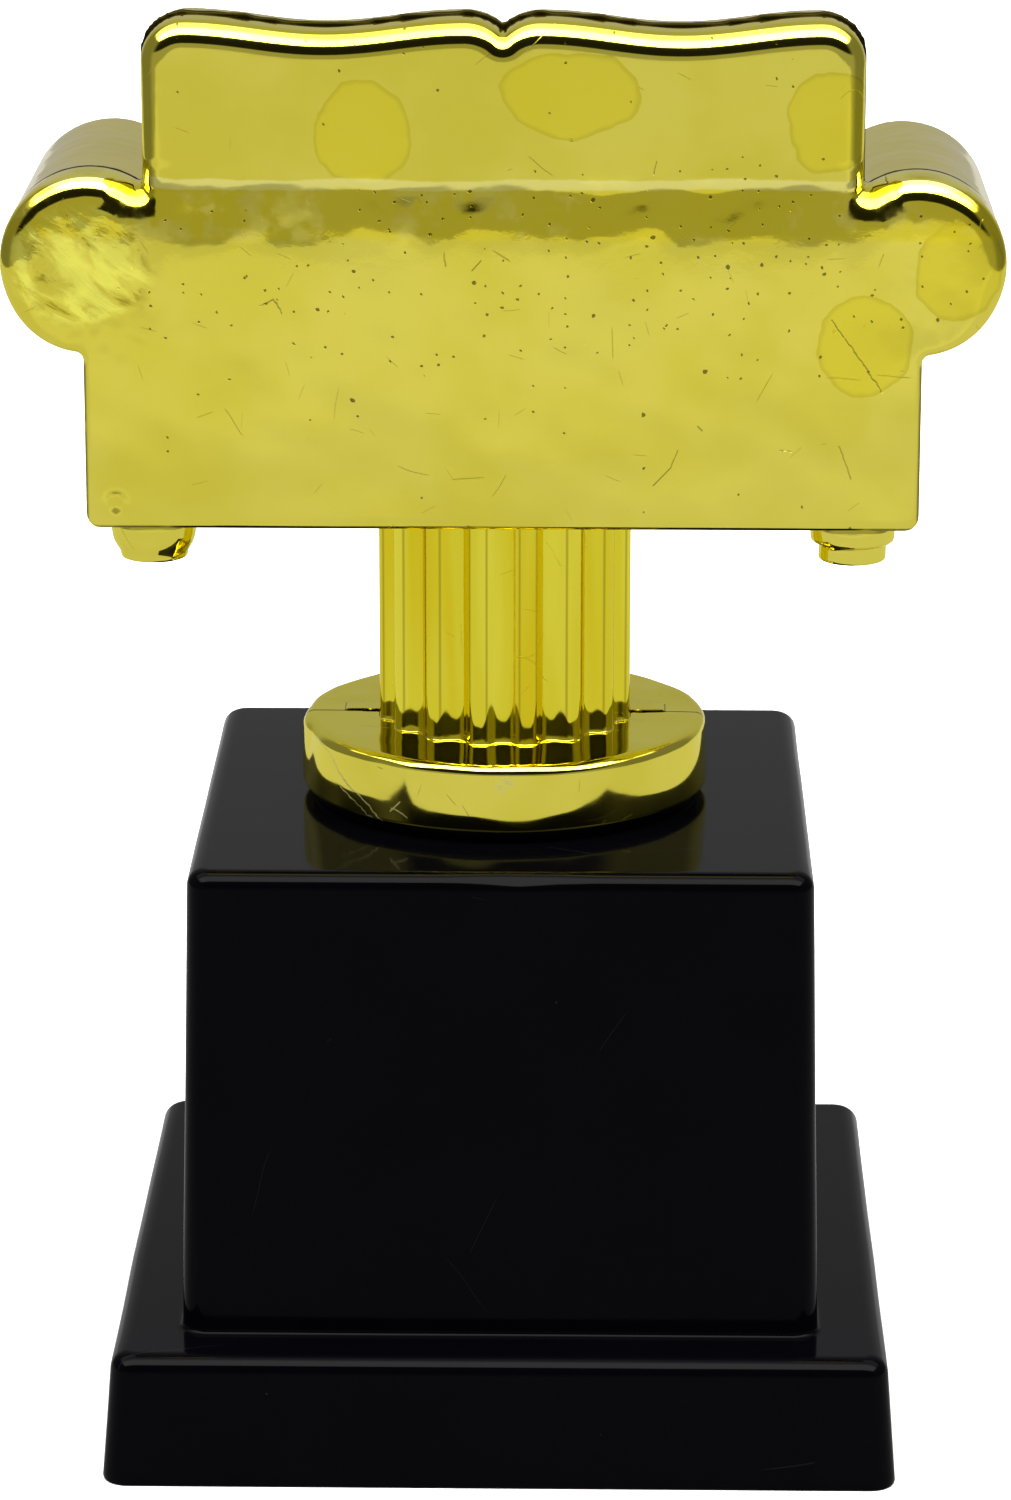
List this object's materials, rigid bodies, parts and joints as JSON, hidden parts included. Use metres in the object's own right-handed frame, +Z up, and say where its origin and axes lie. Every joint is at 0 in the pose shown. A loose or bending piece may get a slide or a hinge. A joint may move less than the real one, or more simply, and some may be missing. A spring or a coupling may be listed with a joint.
{
  "type": "column trophy",
  "caption": "Free-standing award: a gold two-seat sofa figure on a fluted column and disc, bolted to a black stepped block base.",
  "frame": {"origin": "centre of the base's underside, on the surface that the trophy stands on", "axes": "+Z up; the sofa's back faces -Y, its seat and the name plate face +Y; +X to the right as seen from behind the sofa"},
  "size_m": [0.0946, 0.0762, 0.1377],
  "materials": {
    "black_plastic": "gloss",
    "gold": "polished",
    "gasket": "matte",
    "felt": "matte",
    "greyboard": "matte",
    "plaster": "matte",
    "zinc_steel": "satin",
    "plate_metal": "satin",
    "tape": "matte"
  },
  "bodies": {
    "root": {"base_shell": "black_plastic", "ballast_block": "plaster", "bottom_board": "greyboard", "felt_pad": "felt", "disc_gasket": "gasket", "riser_back_half": "gold", "riser_front_half": "gold", "sofa_back_shell": "gold", "sofa_front_shell": "gold", "sofa_foot_back_left": "gold", "sofa_foot_back_right": "gold", "sofa_foot_front_left": "gold", "sofa_foot_front_right": "gold", "threaded_rod": "zinc_steel", "captive_nut": "zinc_steel", "base_nut": "zinc_steel", "lock_washer": "zinc_steel", "flat_washer": "zinc_steel", "name_plate": "plate_metal", "plate_tape": "tape"}
  },
  "joints": []
}
